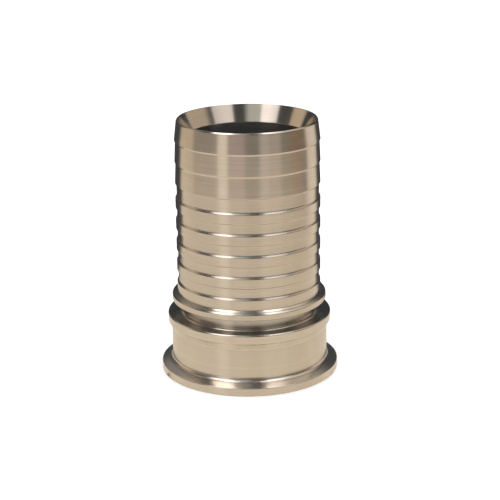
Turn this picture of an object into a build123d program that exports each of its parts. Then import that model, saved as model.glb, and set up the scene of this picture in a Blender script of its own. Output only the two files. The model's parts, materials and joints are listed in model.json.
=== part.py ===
from build123d import *
import math
import os

# Crimp hose stem with a clamp flange, 2-inch size, made from turned pieces joined by dressed welds.
# The origin is the centre of the clamp face. +Z runs up the axis to the open hose end.
# Sizes are in millimetres. Every piece is a ring about the Z axis, drawn in the XZ plane.

# Clamp flange, to the common 2-inch clamp-joint standard
FLANGE_R = 63.9 / 2
RIM_HEIGHT = 2.85
BACK_ANGLE = 20.0
FACE_BORE_R = 47.5 / 2
GASKET_GROOVE_R = 56.5 / 2
GASKET_BEAD_R = 1.6
RIM_EDGE = 0.3

# End sleeve: the shoulder that the hose ferrule butts against, with a small step and a taper below it,
# and the body down to the flange
SLEEVE_R = 28.1
SHOULDER_R = 29.4
SHOULDER_LOW_R = 29.3
SHOULDER_TOP = 21.5
SHOULDER_LOW = 18.2
SHOULDER_STEP = 0.35
SHOULDER_TAPER_LOW = 15.8
SHOULDER_BLEND_R = 1.5
SHOULDER_EDGE_WIDTH = 0.3
SHOULDER_EDGE_HEIGHT = 0.45

# Hose shank: a thick tube with a plain register at its lower end
OVERALL_HEIGHT = 91.9
BORE_R = 21.5
SERRATION_R = 51.6 / 2
REGISTER_R = 24.0
REGISTER_TOP = 28.8
SEAT_Z = 12.0
LIP_OUTER_R = 25.0
LIP_INNER_R = 24.4
LIP_EDGE_WIDTH = 0.35
LIP_EDGE_HEIGHT = 0.5
ENTRY_BEVEL_LOW = 85.8

# Serrations on the shank
PITCH = 7.67
BARB_COUNT = 3
BARB_ROOT_R = 25.45
TOP_BARB_EDGE = 84.64
BARB_STEP = 0.45
RING_COUNT = 5
RING_GAP_R = 25.3
TOP_RING_TOP = 64.35
RING_HEIGHT = 3.9
RING_UPPER_SLOPE = 0.7
RING_LOWER_SLOPE = 0.5
RING_ROOT_R = 1.0
BLANK_OVERSIZE_R = SERRATION_R + 1.0

# Lock collar: its underside catches the lip of the hose ferrule
COLLAR_R = 27.7
COLLAR_LOW = 26.1
COLLAR_EDGE_WIDTH = 0.5
COLLAR_EDGE_HEIGHT = 0.6
COLLAR_LOWER_ROUND = 0.5

# Welds, all turned smooth after welding. Each outer weld also fills a groove or a chamfer cut for it.
COLLAR_WELD_WIDTH = 0.5
COLLAR_WELD_HEIGHT = 0.6
COLLAR_GROOVE_DEPTH = 0.9
NECK_WELD_WIDTH = 1.2
NECK_WELD_HEIGHT = 0.6
NECK_WELD_TOE_WIDTH = 0.27
NECK_WELD_TOE_HEIGHT = 0.35
FLANGE_WELD_R = 1.6
SEAM_DEPTH = 0.8

# Bore of the end sleeve: a short land, then a cone that opens to the face bore
SLEEVE_LAND_LOW = 10.0
SLEEVE_CONE_LOW = 5.5

# Both sides of the V groove for the collar's weld, and the chamfer on the shank's shoulder where it starts,
# are at 45 degrees
COLLAR_GROOVE_R = SERRATION_R - COLLAR_WELD_HEIGHT
# The sleeve stands on the flange where the flange's sloping back reaches the sleeve's radius
SLEEVE_LOW = RIM_HEIGHT + (FLANGE_R - SLEEVE_R) * math.tan(math.radians(BACK_ANGLE))
# The flange weld is tangent to the sleeve and to the flange's back, so both its legs have this length
FLANGE_WELD_LEG = FLANGE_WELD_R * math.tan(math.radians((90 - BACK_ANGLE) / 2))

os.makedirs("parts", exist_ok=True)


def seam(radius, height):
    """Corners of a V-shaped seam that opens into the bore, as wide as twice its depth."""
    return [
        (radius, height - SEAM_DEPTH),
        (radius + SEAM_DEPTH, height),
        (radius, height + SEAM_DEPTH),
    ]


def finish(piece, name):
    """Label a finished piece and write it as its own STEP file."""
    piece.label = name
    export_step(piece, f"parts/{name}.step")


# Hose shank: the turned blank, then the three barbs and the five rings cut into it
with BuildPart() as hose_shank:
    with BuildSketch(Plane.XZ):
        with BuildLine():
            Polyline(
                (BORE_R, SEAT_Z + SEAM_DEPTH),
                (BORE_R + SEAM_DEPTH, SEAT_Z),
                (REGISTER_R, SEAT_Z),
                (REGISTER_R, REGISTER_TOP),
                (COLLAR_GROOVE_R, REGISTER_TOP),
                (SERRATION_R, REGISTER_TOP + COLLAR_WELD_HEIGHT),
                (SERRATION_R, TOP_BARB_EDGE),
                (LIP_OUTER_R, OVERALL_HEIGHT - LIP_EDGE_HEIGHT),
                (LIP_OUTER_R - LIP_EDGE_WIDTH, OVERALL_HEIGHT),
                (LIP_INNER_R, OVERALL_HEIGHT),
                (BORE_R, ENTRY_BEVEL_LOW),
                close=True,
            )
        make_face()
    revolve(axis=Axis.Z)
    with BuildSketch(Plane.XZ) as serration_cuts:
        for barb in range(BARB_COUNT - 1):
            upper_edge = TOP_BARB_EDGE - barb * PITCH
            with BuildLine():
                Polyline(
                    (SERRATION_R, upper_edge),
                    (BARB_ROOT_R, upper_edge - BARB_STEP),
                    (SERRATION_R, upper_edge - PITCH),
                    (BLANK_OVERSIZE_R, upper_edge - PITCH),
                    (BLANK_OVERSIZE_R, upper_edge),
                    close=True,
                )
            make_face()
        for gap in range(RING_COUNT):
            ring_top = TOP_RING_TOP - gap * PITCH
            if gap == 0:
                gap_top = TOP_BARB_EDGE - (BARB_COUNT - 1) * PITCH
            else:
                gap_top = ring_top + PITCH - RING_HEIGHT
            with BuildLine():
                Polyline(
                    (RING_GAP_R, ring_top),
                    (RING_GAP_R, gap_top - RING_LOWER_SLOPE),
                    (SERRATION_R, gap_top),
                    (BLANK_OVERSIZE_R, gap_top),
                    (BLANK_OVERSIZE_R, ring_top - RING_UPPER_SLOPE),
                    (SERRATION_R, ring_top - RING_UPPER_SLOPE),
                    close=True,
                )
            make_face()
        ring_roots = [
            serration_cuts.vertices().sort_by_distance((RING_GAP_R, TOP_RING_TOP - gap * PITCH))[0]
            for gap in range(RING_COUNT)
        ]
        fillet(ring_roots, RING_ROOT_R)
    revolve(axis=Axis.Z, mode=Mode.SUBTRACT)
finish(hose_shank.part, "hose_shank")

# Lock collar: a ring on the register, hard up against the shank's shoulder
with BuildPart() as lock_collar:
    with BuildSketch(Plane.XZ) as collar_section:
        with BuildLine():
            Polyline(
                (REGISTER_R, COLLAR_LOW),
                (COLLAR_R, COLLAR_LOW),
                (COLLAR_R, REGISTER_TOP - COLLAR_EDGE_HEIGHT),
                (COLLAR_R - COLLAR_EDGE_WIDTH, REGISTER_TOP),
                (COLLAR_GROOVE_R + 2 * COLLAR_GROOVE_DEPTH, REGISTER_TOP),
                (COLLAR_GROOVE_R + COLLAR_GROOVE_DEPTH, REGISTER_TOP - COLLAR_GROOVE_DEPTH),
                (COLLAR_GROOVE_R, REGISTER_TOP),
                (REGISTER_R, REGISTER_TOP),
                close=True,
            )
        make_face()
        fillet(collar_section.vertices().group_by(Axis.X)[-1].sort_by(Axis.Y)[0], COLLAR_LOWER_ROUND)
    revolve(axis=Axis.Z)
finish(lock_collar.part, "lock_collar")

# Weld in the V groove of the lock collar's top, with a flat face that slopes up to the shank
with BuildPart() as lock_collar_weld:
    with BuildSketch(Plane.XZ):
        with BuildLine():
            Polyline(
                (SERRATION_R, REGISTER_TOP + COLLAR_WELD_HEIGHT),
                (COLLAR_GROOVE_R, REGISTER_TOP),
                (COLLAR_GROOVE_R + COLLAR_GROOVE_DEPTH, REGISTER_TOP - COLLAR_GROOVE_DEPTH),
                (COLLAR_GROOVE_R + 2 * COLLAR_GROOVE_DEPTH, REGISTER_TOP),
                (SERRATION_R + COLLAR_WELD_WIDTH, REGISTER_TOP),
                close=True,
            )
        make_face()
    revolve(axis=Axis.Z)
finish(lock_collar_weld.part, "lock_collar_weld")

# End sleeve: slides over the register, and its inner ledge carries the shank's end
with BuildPart() as end_sleeve:
    with BuildSketch(Plane.XZ) as sleeve_section:
        with BuildLine():
            Polyline(
                (FACE_BORE_R + SEAM_DEPTH, SLEEVE_LOW),
                (SLEEVE_R - FLANGE_WELD_LEG, SLEEVE_LOW),
                (SLEEVE_R, SLEEVE_LOW + FLANGE_WELD_LEG),
                (SLEEVE_R, SHOULDER_TAPER_LOW),
                (SHOULDER_LOW_R - SHOULDER_STEP, SHOULDER_LOW - SHOULDER_STEP),
                (SHOULDER_LOW_R, SHOULDER_LOW),
                (SHOULDER_R, SHOULDER_TOP - SHOULDER_EDGE_HEIGHT),
                (SHOULDER_R - SHOULDER_EDGE_WIDTH, SHOULDER_TOP),
                (REGISTER_R + NECK_WELD_WIDTH, SHOULDER_TOP),
                (REGISTER_R, SHOULDER_TOP - NECK_WELD_WIDTH),
                (REGISTER_R, SEAT_Z),
                (BORE_R + SEAM_DEPTH, SEAT_Z),
                (BORE_R, SEAT_Z - SEAM_DEPTH),
                (BORE_R, SLEEVE_LAND_LOW),
                (FACE_BORE_R, SLEEVE_CONE_LOW),
                (FACE_BORE_R, SLEEVE_LOW + SEAM_DEPTH),
                close=True,
            )
        make_face()
        taper_foot = sleeve_section.vertices().sort_by_distance((SLEEVE_R, SHOULDER_TAPER_LOW))[0]
        fillet(taper_foot, SHOULDER_BLEND_R)
    revolve(axis=Axis.Z)
finish(end_sleeve.part, "end_sleeve")

# Weld at the foot of the neck, in a chamfer of the sleeve's bore: a low bead with a bevelled toe
with BuildPart() as neck_weld:
    with BuildSketch(Plane.XZ):
        with BuildLine():
            Polyline(
                (REGISTER_R, SHOULDER_TOP + NECK_WELD_HEIGHT),
                (REGISTER_R, SHOULDER_TOP - NECK_WELD_WIDTH),
                (REGISTER_R + NECK_WELD_WIDTH, SHOULDER_TOP),
                (REGISTER_R + NECK_WELD_WIDTH - NECK_WELD_TOE_WIDTH, SHOULDER_TOP + NECK_WELD_TOE_HEIGHT),
                close=True,
            )
        make_face()
    revolve(axis=Axis.Z)
finish(neck_weld.part, "neck_weld")

# Seam weld inside the bore, where the shank's end meets the sleeve's ledge
with BuildPart() as shank_seam_weld:
    with BuildSketch(Plane.XZ):
        with BuildLine():
            Polyline(*seam(BORE_R, SEAT_Z), close=True)
        make_face()
    revolve(axis=Axis.Z)
finish(shank_seam_weld.part, "shank_seam_weld")

# Clamp ferrule: the flange, with the gasket groove in its face
with BuildPart() as clamp_ferrule:
    with BuildSketch(Plane.XZ) as ferrule_section:
        with BuildLine():
            Polyline(
                (FACE_BORE_R, 0),
                (FLANGE_R, 0),
                (FLANGE_R, RIM_HEIGHT),
                (SLEEVE_R, SLEEVE_LOW),
                (FACE_BORE_R + SEAM_DEPTH, SLEEVE_LOW),
                (FACE_BORE_R, SLEEVE_LOW - SEAM_DEPTH),
                close=True,
            )
        make_face()
        fillet(ferrule_section.vertices().group_by(Axis.X)[-1], RIM_EDGE)
        with Locations((GASKET_GROOVE_R, 0)):
            Circle(GASKET_BEAD_R, mode=Mode.SUBTRACT)
    revolve(axis=Axis.Z)
finish(clamp_ferrule.part, "clamp_ferrule")

# Weld that fills the corner between the sleeve and the flange's sloping back
weld_toe = (
    SLEEVE_R + FLANGE_WELD_LEG * math.cos(math.radians(BACK_ANGLE)),
    SLEEVE_LOW - FLANGE_WELD_LEG * math.sin(math.radians(BACK_ANGLE)),
)
with BuildPart() as ferrule_weld:
    with BuildSketch(Plane.XZ):
        with BuildLine():
            Polyline(
                (SLEEVE_R, SLEEVE_LOW + FLANGE_WELD_LEG),
                (SLEEVE_R - FLANGE_WELD_LEG, SLEEVE_LOW),
                (SLEEVE_R, SLEEVE_LOW),
                weld_toe,
            )
            RadiusArc(weld_toe, (SLEEVE_R, SLEEVE_LOW + FLANGE_WELD_LEG), FLANGE_WELD_R)
        make_face()
    revolve(axis=Axis.Z)
finish(ferrule_weld.part, "ferrule_weld")

# Seam weld inside the bore, between the sleeve and the clamp ferrule
with BuildPart() as ferrule_seam_weld:
    with BuildSketch(Plane.XZ):
        with BuildLine():
            Polyline(*seam(FACE_BORE_R, SLEEVE_LOW), close=True)
        make_face()
    revolve(axis=Axis.Z)
finish(ferrule_seam_weld.part, "ferrule_seam_weld")
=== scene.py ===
import json
import math
from collections import namedtuple

import bmesh
import bpy
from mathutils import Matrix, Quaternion, Vector


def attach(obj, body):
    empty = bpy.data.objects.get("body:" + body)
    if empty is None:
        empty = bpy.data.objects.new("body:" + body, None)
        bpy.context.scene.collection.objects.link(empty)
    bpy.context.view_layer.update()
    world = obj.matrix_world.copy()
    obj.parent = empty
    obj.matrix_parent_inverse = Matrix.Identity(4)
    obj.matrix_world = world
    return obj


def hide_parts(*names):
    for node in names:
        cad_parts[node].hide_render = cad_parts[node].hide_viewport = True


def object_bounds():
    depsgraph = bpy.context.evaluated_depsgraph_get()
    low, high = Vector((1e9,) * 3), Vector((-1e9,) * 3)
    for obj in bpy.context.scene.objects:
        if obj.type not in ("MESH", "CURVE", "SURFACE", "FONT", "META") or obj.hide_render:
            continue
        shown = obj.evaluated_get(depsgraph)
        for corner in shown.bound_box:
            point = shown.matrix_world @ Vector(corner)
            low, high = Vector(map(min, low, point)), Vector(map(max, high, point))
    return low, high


# A crimp hose stem on a pale floor. Each CAD piece is turned again in finer steps, in one of two steels,
# and a painted room stands round it for the steel to reflect.

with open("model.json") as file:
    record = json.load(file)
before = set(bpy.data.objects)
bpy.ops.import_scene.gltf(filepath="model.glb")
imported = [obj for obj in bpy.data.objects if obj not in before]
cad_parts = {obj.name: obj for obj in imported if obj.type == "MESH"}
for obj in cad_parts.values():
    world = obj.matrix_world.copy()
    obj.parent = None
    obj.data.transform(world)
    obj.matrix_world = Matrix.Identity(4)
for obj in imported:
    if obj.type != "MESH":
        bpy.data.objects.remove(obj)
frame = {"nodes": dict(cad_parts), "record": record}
CAD_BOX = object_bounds()
GROUND = CAD_BOX[0].z
HEIGHT = CAD_BOX[1].z - GROUND
MOUNTS = {mount["name"]: mount for mount in frame["record"]["mounts"]}

MM = 0.001

# ---------------------------------------------------------------- sizes: the turned pieces

# Points nearer together than MERGE are one point, and heights that agree to so many decimals are the same
MERGE = 1e-6
HEIGHT_DECIMALS = 7
SEGMENTS = 288
# An outline that turns by less than STRAIGHT_TURN is straight there. A corner that turns by more than
# SHARP_TURN is broken, unless it is a knife edge.
STRAIGHT_TURN = math.radians(0.3)
SHARP_TURN = math.radians(25)
KNIFE_TURN = math.radians(125)
# A broken corner starts EDGE_ROUND from the corner, or at EDGE_SHARE of a stretch that is too short for that
EDGE_ROUND = 0.12 * MM
EDGE_SHARE = 0.4
EDGE_STEPS = 4
# How strongly large faces set the shading, from 1 to 100
FACE_WEIGHT = 100

# ---------------------------------------------------------------- sizes: the steel

# The wall of the bore runs from the face up to the bevel at its mouth
BORE_R = MOUNTS["face_bore"]["dims"]["r_mm"] * MM
BORE_TOP = MOUNTS["through_bore"]["pos_m"][2] + MOUNTS["through_bore"]["dims"]["length_mm"] / 2 * MM
BORE_BLEND = 0.15 * MM
# This radius lies between the bevel at the mouth and the outside of the lip
MOUTH_R = MOUNTS["hose_tail"]["dims"]["r_mm"] * MM - 1.1 * MM

# The lathe lines, and the clouding over them: how far apart the marks are, how much they change on the way
# round and how much detail they have
Noise = namedtuple("Noise", "pitch drift detail")
LATHE_LINES = {
    "fine": Noise(0.14 * MM, drift=0.8, detail=1.0),
    "middle": Noise(0.5 * MM, drift=0.5, detail=1.0),
    "broad": Noise(2.2 * MM, drift=0.35, detail=1.0),
}
CLOUDS = Noise(7 * MM, drift=4.0, detail=3.0)

# How much each kind of unevenness adds to the colour, to the roughness and to the height of the surface
COLOUR_SHARES = {"middle": 0.45, "broad": 0.2, "clouds": 0.35}
ROUGHNESS_SHARES = {"clouds": 0.04, "middle": 0.02, "edge": -0.03, "polished": -0.07}
HEIGHT_SHARES = {"fine": 0.35, "middle": 1.0, "broad": 1.6}
# Over this range of the noise, the steel goes from its darkest to its lightest shade, both given as shares of
# its tint
SHADE_RANGE = (0.35, 0.65)
DARKEST = (0.965, 0.955, 0.945)
LIGHTEST = (1.035, 1.035, 1.04)
# painted shade: the bore's colour is darker, for the light lost between its walls
BORE_PAINTED_SHADE = (0.38, 0.39, 0.40, 1)
# painted shade: every flat face is coloured darker
FLAT_PAINTED_SHADE = (0.42, 0.40, 0.37, 1)
# painted highlight: the flange's back is coloured lighter, which brightens its highlight
POLISH_AND_PAINTED_HIGHLIGHT = (0.78, 0.71, 0.64, 1)
# How level a surface is goes from 0, upright, to 1, flat. The flange's back lies between these two ramps.
SLOPING_FROM = (0.85, 0.93)
FLAT_FROM = (0.96, 0.99)
# The tangent runs round the axis, and a quarter turn stretches the highlights across the lathe lines
ANISOTROPIC_TURN = 0.25
MATT_ROUGHNESS = 0.9

# ---------------------------------------------------------------- sizes: the camera and the stage

# A long lens a little above the object, turned slightly about its own line of sight
CAMERA_DISTANCE = 0.5438
CAMERA_ELEVATION = math.radians(17.2)
CAMERA_ROLL = math.radians(-0.7)
CAMERA_LENS = 108.9
CAMERA_SENSOR = 36
CAMERA_TARGET = Vector((0.52 * MM, 0, 0.473 * HEIGHT))

# The even light on everything, reflections aside
PALE_LIGHT = 1.6
# The floor lies just below the part, so that the two never share a plane
FLOOR_SIZE = 6.0
FLOOR_GAP = 0.05 * MM
FLOOR_TONE = 0.9
BORE_SHADE_SIZE = 44 * MM
BORE_SHADE_TONE = 0.0
# The bright table ends a little behind the part, sooner on the right
BACK_TABLE_SIDE = 0.3
BACK_TABLE_NEAR = -10 * MM
BACK_TABLE_FAR_LEFT = 96 * MM
BACK_TABLE_FAR_RIGHT = 69 * MM
BACK_TABLE_TONE = (0.80, 0.73, 0.60)
BACK_SHADE_SIDE = 30 * MM
BACK_SHADE_NEAR = 25 * MM
BACK_SHADE_TONE = (0.22, 0.20, 0.17)

# The room that the steel reflects is painted in panels, from the back to the front. A panel lies between two
# azimuths, its sides, and two elevations, its heights, all in degrees. Azimuth 0 is towards the camera, and
# positive is to its right. The upright and the level edges are soft by so many degrees each way, and the two
# sides lean by so many degrees per degree of elevation.
Panel = namedtuple("Panel", "sides heights tone soft lean", defaults=((2, 3), (0, 0)))
ROOM_TONE = (0.04, 0.045, 0.05, 1)
# dark above the camera, brighter behind the part and brightest on the right
CEILING = [
    Panel((-168, -90), (20, 95), (0.24, 0.23, 0.22), soft=(5, 8)),
    Panel((90, 185), (35, 95), (0.32, 0.30, 0.27), soft=(1, 8)),
    Panel((-95, 95), (-20, 95), (0.055, 0.06, 0.06)),
    Panel((110, 185), (42, 95), (0.50, 0.44, 0.36), soft=(10, 5)),
    Panel((-185, -118), (42, 95), (0.50, 0.44, 0.36), soft=(10, 5)),
    Panel((76, 130), (36, 95), (0.80, 0.78, 0.68), soft=(5, 6)),
]
# one on the left, and one on the right that is dimmer at its top
SIDE_REFLECTORS = [
    Panel((-127, -92), (-90, 30), (0.60, 0.50, 0.37), lean=(0.31, 0)),
    Panel((101, 132.5), (-90, 33), (0.80, 0.72, 0.61), soft=(4, 3), lean=(-0.7, -0.5)),
    Panel((101, 134), (9, 33), (0.50, 0.43, 0.33), soft=(4, 8), lean=(-0.7, -0.7)),
]
# what stands beyond the table, on the camera's side, from left to right
BEYOND_TABLE = [
    Panel((-92, -47), (-90, 20), (0.27, 0.24, 0.20)),
    Panel((-27, -3), (-90, 9), (0.44, 0.36, 0.35), soft=(2, 4)),
    Panel((-3, 15), (-90, 9), (0.20, 0.19, 0.16), soft=(2, 4)),
    Panel((18, 36), (-90, 9), (0.54, 0.50, 0.46), soft=(4, 4)),
    Panel((36, 55), (-90, 12), (0.42, 0.37, 0.32), soft=(3, 5)),
    Panel((55, 70), (-90, 16), (0.16, 0.16, 0.12), soft=(4, 6)),
    Panel((70, 98), (-90, 12), (0.20, 0.12, 0.075), soft=(4, 6)),
]
# the table in three lengths, and a bright stand on its left
TABLE = [
    Panel((-131, -27), (-95, -11), (0.85, 0.78, 0.63), soft=(1.5, 1.5)),
    Panel((-27, 78), (-95, -12), (0.87, 0.79, 0.63), soft=(1.5, 1.5)),
    Panel((78, 133), (-95, -13), (0.87, 0.79, 0.63), soft=(1.5, 1.5)),
    Panel((-47, -30), (-30, 31), (0.88, 0.83, 0.70)),
]
# the dim gap above the camera, and on each side of it a box that is brightest high up
SOFT_BOXES = [
    Panel((-32, 1), (33, 80), (0.62, 0.66, 0.60), soft=(7, 4)),
    Panel((-20, 5), (51, 80), (0.18, 0.25, 0.27), soft=(8, 5)),
    Panel((-48, -15), (30, 80), (1.35, 1.32, 1.32), lean=(-0.45, -0.36)),
    Panel((-25, -15), (47, 80), (3.2, 3.1, 3.0), soft=(2, 8), lean=(-1.0, -0.36)),
    Panel((12, 53), (30, 80), (1.02, 1.0, 0.96), lean=(0.42, 0.5)),
    Panel((12, 52), (57, 80), (3.2, 3.2, 3.2), soft=(2, 4), lean=(0.42, 0.5)),
]


# ---------------------------------------------------------------- turned pieces

def seam_outline(node):
    """The node's outline in the half-plane y = 0, x > 0, as an ordered loop of (radius, height) points."""
    bm = bmesh.new()
    bm.from_mesh(frame["nodes"][node].data)
    bmesh.ops.remove_doubles(bm, verts=bm.verts, dist=MERGE)
    everything = bm.verts[:] + bm.edges[:] + bm.faces[:]
    bmesh.ops.bisect_plane(bm, geom=everything, dist=MERGE, plane_co=(0, 0, 0), plane_no=(0, 1, 0))
    bm.verts.index_update()
    on_seam = {v.index: v for v in bm.verts if abs(v.co.y) < 2 * MERGE and v.co.x > 0}
    # from the lowest point, or the inner one of two, the loop's first step goes outwards
    start = min(on_seam.values(), key=lambda v: (round(v.co.z, HEIGHT_DECIMALS), v.co.x))
    loop = [start]
    while True:
        previous = loop[-2] if len(loop) > 1 else None
        following = [
            e.other_vert(loop[-1])
            for e in loop[-1].link_edges
            if e.other_vert(loop[-1]).index in on_seam and e.other_vert(loop[-1]) != previous
        ]
        step = min(following, key=lambda v: (-v.co.x, v.co.z)) if previous is None else following[0]
        if step == start:
            break
        loop.append(step)
    points = [Vector((v.co.x, v.co.z)) for v in loop]
    bm.free()
    return points


def turn_at(points, i):
    """How far the outline turns at point i, as an angle."""
    before = points[i] - points[i - 1]
    after = points[(i + 1) % len(points)] - points[i]
    return before.angle(after)


def without_straights(points):
    """The outline without the points that lie on a straight stretch."""
    return [point for i, point in enumerate(points) if turn_at(points, i) > STRAIGHT_TURN]


def with_round_edges(points):
    """Breaks each sharp corner with a small arc. Also returns a list with 1 for each point on an arc."""
    out, on_edge = [], []
    for i, corner in enumerate(points):
        turn = turn_at(points, i)
        if not SHARP_TURN < turn < KNIFE_TURN:
            out.append(corner)
            on_edge.append(0.0)
            continue
        before = points[i - 1] - corner
        after = points[(i + 1) % len(points)] - corner
        leg = min(EDGE_ROUND, EDGE_SHARE * before.length, EDGE_SHARE * after.length)
        arc_start = corner + before.normalized() * leg
        arc_end = corner + after.normalized() * leg
        for k in range(EDGE_STEPS + 1):
            t = k / EDGE_STEPS
            out.append(arc_start * (1 - t) ** 2 + corner * 2 * t * (1 - t) + arc_end * t ** 2)
            on_edge.append(1.0)
    return out, on_edge


def ring_mesh(name, points):
    """A mesh of the closed outline turned once round Z. The outline's points repeat for each segment."""
    count = len(points)
    vertices = []
    faces = []
    for k in range(SEGMENTS):
        angle = 2 * math.pi * k / SEGMENTS
        vertices += [(p.x * math.cos(angle), p.x * math.sin(angle), p.y) for p in points]
        here, there = k * count, (k + 1) % SEGMENTS * count
        faces += [
            (here + i, there + i, there + (i + 1) % count, here + (i + 1) % count)
            for i in range(count)
        ]
    mesh = bpy.data.meshes.new(name)
    mesh.from_pydata(vertices, [], faces)
    mesh.polygons.foreach_set("use_smooth", [True] * len(faces))
    return mesh


def turned_piece(node, material):
    """Replaces a CAD node with the same outline turned on a finer lathe, its sharp corners broken."""
    points, on_edge = with_round_edges(without_straights(seam_outline(node)))
    path = [0.0]
    for i in range(1, len(points)):
        path.append(path[-1] + (points[i] - points[i - 1]).length)
    mesh = ring_mesh(node + "_turned", points)
    for name, values in (("lathe_path", path), ("edge", on_edge)):
        attribute = mesh.attributes.new(name, "FLOAT", "POINT")
        attribute.data.foreach_set("value", values * SEGMENTS)
    mesh.update()
    mesh.validate()
    bm = bmesh.new()
    bm.from_mesh(mesh)
    bmesh.ops.recalc_face_normals(bm, faces=bm.faces)
    bm.to_mesh(mesh)
    bm.free()
    mesh.materials.append(material)
    piece = bpy.data.objects.new(node + "_turned", mesh)
    bpy.context.scene.collection.objects.link(piece)
    weighted = piece.modifiers.new("flat faces stay flat", "WEIGHTED_NORMAL")
    weighted.mode = "FACE_AREA"
    weighted.weight = FACE_WEIGHT
    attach(piece, "root")
    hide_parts(node)
    return piece


# ---------------------------------------------------------------- node helpers

class Nodes:
    """A node tree with short calls for the few kinds of node that the materials here need."""

    def __init__(self, tree):
        self.tree = tree
        self.tree.nodes.clear()

    def add(self, kind, **settings):
        node = self.tree.nodes.new(kind)
        for name, value in settings.items():
            setattr(node, name, value)
        return node

    def put(self, value, socket):
        """Gives a socket a number, a colour or another node's output."""
        if isinstance(value, bpy.types.NodeSocket):
            self.tree.links.new(value, socket)
        else:
            socket.default_value = value

    def math(self, operation, *values):
        node = self.add("ShaderNodeMath", operation=operation)
        for i, value in enumerate(values):
            self.put(value, node.inputs[i])
        return node.outputs[0]

    def total(self, *values):
        result = values[0]
        for value in values[1:]:
            result = self.math("ADD", result, value)
        return result

    def shared(self, values, shares):
        """The values that the shares name, each times its share."""
        return [self.math("MULTIPLY", values[name], share) for name, share in shares.items()]

    def ramp(self, value, low, high, to_low=0.0, to_high=1.0, smooth=True):
        """Maps value from low..high to to_low..to_high, and holds the ends."""
        node = self.add("ShaderNodeMapRange", interpolation_type="SMOOTHSTEP" if smooth else "LINEAR")
        for i, number in enumerate((value, low, high, to_low, to_high)):
            self.put(number, node.inputs[i])
        return node.outputs[0]

    def fall(self, value, low, high):
        """Goes from 1 at low to 0 at high, and holds the ends."""
        return self.ramp(value, low, high, 1.0, 0.0)

    def apart(self, vector):
        """The vector's three parts."""
        node = self.add("ShaderNodeSeparateXYZ")
        self.put(vector, node.inputs[0])
        return [node.outputs[axis] for axis in "XYZ"]

    def vector(self, x, y, z):
        node = self.add("ShaderNodeCombineXYZ")
        for i, value in enumerate((x, y, z)):
            self.put(value, node.inputs[i])
        return node.outputs[0]

    def noise(self, vector, detail):
        node = self.add("ShaderNodeTexNoise")
        node.inputs["Scale"].default_value = 1.0
        node.inputs["Detail"].default_value = detail
        self.put(vector, node.inputs["Vector"])
        return node.outputs["Fac"]

    def mix(self, share, a, b):
        node = self.add("ShaderNodeMix", data_type="RGBA")
        self.put(share, node.inputs["Factor"])
        self.put(a, node.inputs["A"])
        self.put(b, node.inputs["B"])
        return node.outputs["Result"]


# ---------------------------------------------------------------- materials

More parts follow.
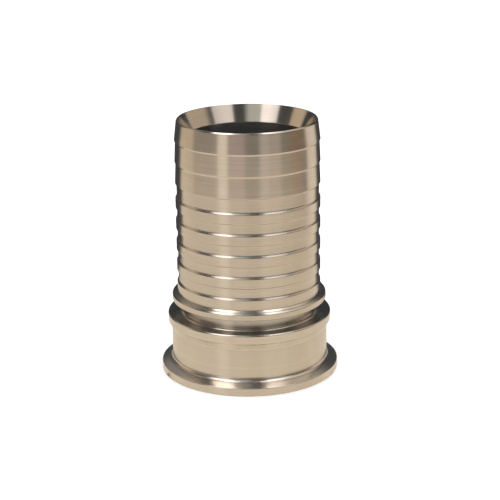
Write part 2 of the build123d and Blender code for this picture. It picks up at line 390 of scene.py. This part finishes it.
def turned_steel(name, tint, roughness, anisotropic, line_depth):
    """Stainless steel off the lathe: fine lines round the axis, uneven sheen, burnished edges.

    The roughness given is changed by the noises, and it is less on edges and where the steel is polished."""
    material = bpy.data.materials.new(name)
    material.use_nodes = True
    n = Nodes(material.node_tree)
    x, y, z = n.apart(n.add("ShaderNodeTexCoord").outputs["Object"])
    radius = n.math("SQRT", n.total(n.math("POWER", x, 2.0), n.math("POWER", y, 2.0)))
    angle = n.math("ARCTAN2", y, x)
    cosine, sine = n.math("COSINE", angle), n.math("SINE", angle)
    path = n.add("ShaderNodeAttribute", attribute_name="lathe_path").outputs["Fac"]
    edge = n.add("ShaderNodeAttribute", attribute_name="edge").outputs["Fac"]

    def uneven(along, kind):
        """Noise that changes once per pitch along the surface, and by drift on the way round."""
        across = n.math("MULTIPLY", along, 1 / kind.pitch)
        round_about = [n.math("MULTIPLY", part, kind.drift) for part in (cosine, sine)]
        return n.noise(n.vector(*round_about, across), kind.detail)

    noises = {name: uneven(path, kind) for name, kind in LATHE_LINES.items()}
    noises["clouds"] = uneven(z, CLOUDS)

    shade = n.ramp(n.total(*n.shared(noises, COLOUR_SHARES)), *SHADE_RANGE, smooth=False)
    dark = (*(part * share for part, share in zip(tint, DARKEST)), 1)
    light = (*(part * share for part, share in zip(tint, LIGHTEST)), 1)
    colour = n.mix(shade, dark, light)

    # the bore is painted darker and greyer than the turned outside: painted shade, for the light lost between
    # its walls
    painted_bore_shade = n.math(
        "MULTIPLY",
        n.fall(radius, BORE_R + BORE_BLEND, BORE_R + 2 * BORE_BLEND),
        n.fall(z, BORE_TOP - BORE_BLEND, BORE_TOP),
    )
    colour = n.mix(painted_bore_shade, colour, BORE_PAINTED_SHADE)
    # the flat faces are painted darker too: painted shade
    level = n.math("ABSOLUTE", n.apart(n.add("ShaderNodeTexCoord").outputs["Normal"])[2])
    colour = n.mix(n.ramp(level, *FLAT_FROM), colour, FLAT_PAINTED_SHADE)
    # the flange's gently sloping back is polished, and so is the bevel at the mouth. The flange's back is
    # also coloured lighter: a painted highlight.
    sloping = n.math("MULTIPLY", n.ramp(level, *SLOPING_FROM), n.fall(level, *FLAT_FROM))
    colour = n.mix(sloping, colour, POLISH_AND_PAINTED_HIGHLIGHT)
    in_mouth = n.math(
        "MULTIPLY",
        n.fall(radius, MOUTH_R, MOUTH_R + BORE_BLEND),
        n.ramp(z, BORE_TOP - BORE_BLEND, BORE_TOP),
    )
    polished = n.math("MAXIMUM", sloping, in_mouth)

    sheens = {**noises, "edge": edge, "polished": polished}
    rough = n.total(roughness, *n.shared(sheens, ROUGHNESS_SHARES))

    bump = n.add("ShaderNodeBump")
    bump.inputs["Strength"].default_value = 1.0
    bump.inputs["Distance"].default_value = line_depth
    n.put(n.total(*n.shared(noises, HEIGHT_SHARES)), bump.inputs["Height"])

    tangent = n.add("ShaderNodeTangent", direction_type="RADIAL", axis="Z")
    shader = n.add("ShaderNodeBsdfPrincipled")
    shader.inputs["Metallic"].default_value = 1.0
    shader.inputs["Anisotropic"].default_value = anisotropic
    shader.inputs["Anisotropic Rotation"].default_value = ANISOTROPIC_TURN
    n.put(colour, shader.inputs["Base Color"])
    n.put(rough, shader.inputs["Roughness"])
    n.put(bump.outputs["Normal"], shader.inputs["Normal"])
    n.put(tangent.outputs["Tangent"], shader.inputs["Tangent"])
    n.put(shader.outputs[0], n.add("ShaderNodeOutputMaterial").inputs["Surface"])
    return material


def matt(name, tone):
    """A plain matt grey."""
    material = bpy.data.materials.new(name)
    material.use_nodes = True
    shader = material.node_tree.nodes["Principled BSDF"]
    shader.inputs["Base Color"].default_value = (tone, tone, tone, 1)
    shader.inputs["Roughness"].default_value = MATT_ROUGHNESS
    return material


def glowing(name, tone):
    """A surface that shows one tone in reflections, whatever lights it."""
    material = bpy.data.materials.new(name)
    material.use_nodes = True
    n = Nodes(material.node_tree)
    glow = n.add("ShaderNodeEmission")
    glow.inputs["Color"].default_value = (*tone, 1)
    n.put(glow.outputs[0], n.add("ShaderNodeOutputMaterial").inputs["Surface"])
    return material


# ---------------------------------------------------------------- studio

def studio_world():
    """The room round the part, seen only in its reflections. Everything else gets an even, pale light."""
    world = bpy.data.worlds.new("studio")
    bpy.context.scene.world = world
    world.use_nodes = True
    n = Nodes(world.node_tree)
    x, y, z = n.apart(n.add("ShaderNodeTexCoord").outputs["Generated"])
    azimuth = n.math("MULTIPLY", n.math("ARCTAN2", x, n.math("MULTIPLY", y, -1.0)), math.degrees(1))
    elevation = n.math("MULTIPLY", n.math("ARCSINE", z), math.degrees(1))

    def beyond(value, edge, soft, lean=0.0):
        """0 below the edge and 1 above it. A leaning edge moves by lean degrees per degree of elevation."""
        if lean:
            value = n.math("SUBTRACT", value, n.math("MULTIPLY", elevation, lean))
        return n.ramp(value, edge - soft, edge + soft)

    def lay(panel, behind):
        """Lays a panel over what is behind it."""
        upright, level = panel.soft
        left, right = [beyond(azimuth, side, upright, lean) for side, lean in zip(panel.sides, panel.lean)]
        low, high = [beyond(elevation, height, level) for height in panel.heights]
        share = n.math("MULTIPLY", n.math("SUBTRACT", left, right), n.math("SUBTRACT", low, high))
        return n.mix(share, behind, (*panel.tone, 1))

    view = ROOM_TONE
    for panel in CEILING + SIDE_REFLECTORS + BEYOND_TABLE + TABLE + SOFT_BOXES:
        view = lay(panel, view)

    room = n.add("ShaderNodeBackground")
    n.put(view, room.inputs["Color"])
    pale = n.add("ShaderNodeBackground")
    pale.inputs["Color"].default_value = (1.0, 1.0, 1.0, 1)
    pale.inputs["Strength"].default_value = PALE_LIGHT
    switch = n.add("ShaderNodeMixShader")
    n.put(n.add("ShaderNodeLightPath").outputs["Is Glossy Ray"], switch.inputs[0])
    n.put(pale.outputs[0], switch.inputs[1])
    n.put(room.outputs[0], switch.inputs[2])
    n.put(switch.outputs[0], n.add("ShaderNodeOutputWorld").inputs["Surface"])


def plane(name, xs, ys, height, material):
    """A level rectangle on the stage, between two values of X and two of Y."""
    mesh = bpy.data.meshes.new(name)
    corners = [(xs[0], ys[0]), (xs[1], ys[0]), (xs[1], ys[1]), (xs[0], ys[1])]
    mesh.from_pydata([(x, y, height) for x, y in corners], [], [(0, 1, 2, 3)])
    mesh.materials.append(material)
    thing = bpy.data.objects.new(name, mesh)
    bpy.context.scene.collection.objects.link(thing)
    return thing


def reflected_only(thing):
    """Hides a staged piece from everything but the part's reflections."""
    thing.visible_camera = False
    thing.visible_diffuse = False
    thing.visible_shadow = False


def dress_stage():
    """The pale floor, and level pieces near it that are there only for the steel to reflect."""
    below = GROUND - FLOOR_GAP
    floor_span = (-FLOOR_SIZE / 2, FLOOR_SIZE / 2)
    floor = plane("floor", floor_span, floor_span, below, matt("pale_floor", FLOOR_TONE))
    floor.visible_glossy = False
    # the floor inside the bore is in the shade, so the bore's wall reflects a dark floor
    bore_span = (-BORE_SHADE_SIZE / 2, BORE_SHADE_SIZE / 2)
    reflected_only(plane("bore_shade", bore_span, bore_span, GROUND, matt("shaded_floor", BORE_SHADE_TONE)))
    # behind the part the bright table is short, and the part's own soft shadow falls on it
    table_tone = glowing("table_tone", BACK_TABLE_TONE)
    for name, xs, far in (
        ("back_table_left", (-BACK_TABLE_SIDE, 0), BACK_TABLE_FAR_LEFT),
        ("back_table_right", (0, BACK_TABLE_SIDE), BACK_TABLE_FAR_RIGHT),
    ):
        reflected_only(plane(name, xs, (BACK_TABLE_NEAR, far), below, table_tone))
    shade_xs = (-BACK_SHADE_SIDE, BACK_SHADE_SIDE)
    shade_ys = (BACK_SHADE_NEAR, BACK_TABLE_FAR_LEFT)
    reflected_only(plane("back_shade", shade_xs, shade_ys, GROUND, glowing("shade_tone", BACK_SHADE_TONE)))


def place_camera():
    """The camera, looking down at the target from the front."""
    back = Vector((0, -math.cos(CAMERA_ELEVATION), math.sin(CAMERA_ELEVATION)))
    data = bpy.data.cameras.new("camera")
    data.lens = CAMERA_LENS
    data.sensor_width = CAMERA_SENSOR
    thing = bpy.data.objects.new("camera", data)
    thing.location = CAMERA_TARGET + back * CAMERA_DISTANCE
    thing.rotation_mode = "QUATERNION"
    thing.rotation_quaternion = (-back).to_track_quat("-Z", "Y") @ Quaternion((0, 0, 1), CAMERA_ROLL)
    bpy.context.scene.collection.objects.link(thing)
    bpy.context.scene.camera = thing


# ---------------------------------------------------------------- the scene

FINISHES = {
    "turned_steel": turned_steel(
        "turned_steel", tint=(0.70, 0.62, 0.545), roughness=0.242, anisotropic=0.69, line_depth=0.006 * MM
    ),
    "dressed_weld": turned_steel(
        "dressed_weld", tint=(0.69, 0.615, 0.545), roughness=0.232, anisotropic=0.65, line_depth=0.004 * MM
    ),
}
for subpart in frame["record"]["subparts"]:
    slot = subpart["material_slot"]
    piece = turned_piece(subpart["node"], FINISHES[slot])

studio_world()
dress_stage()
place_camera()
bpy.context.scene.view_settings.view_transform = "Standard"
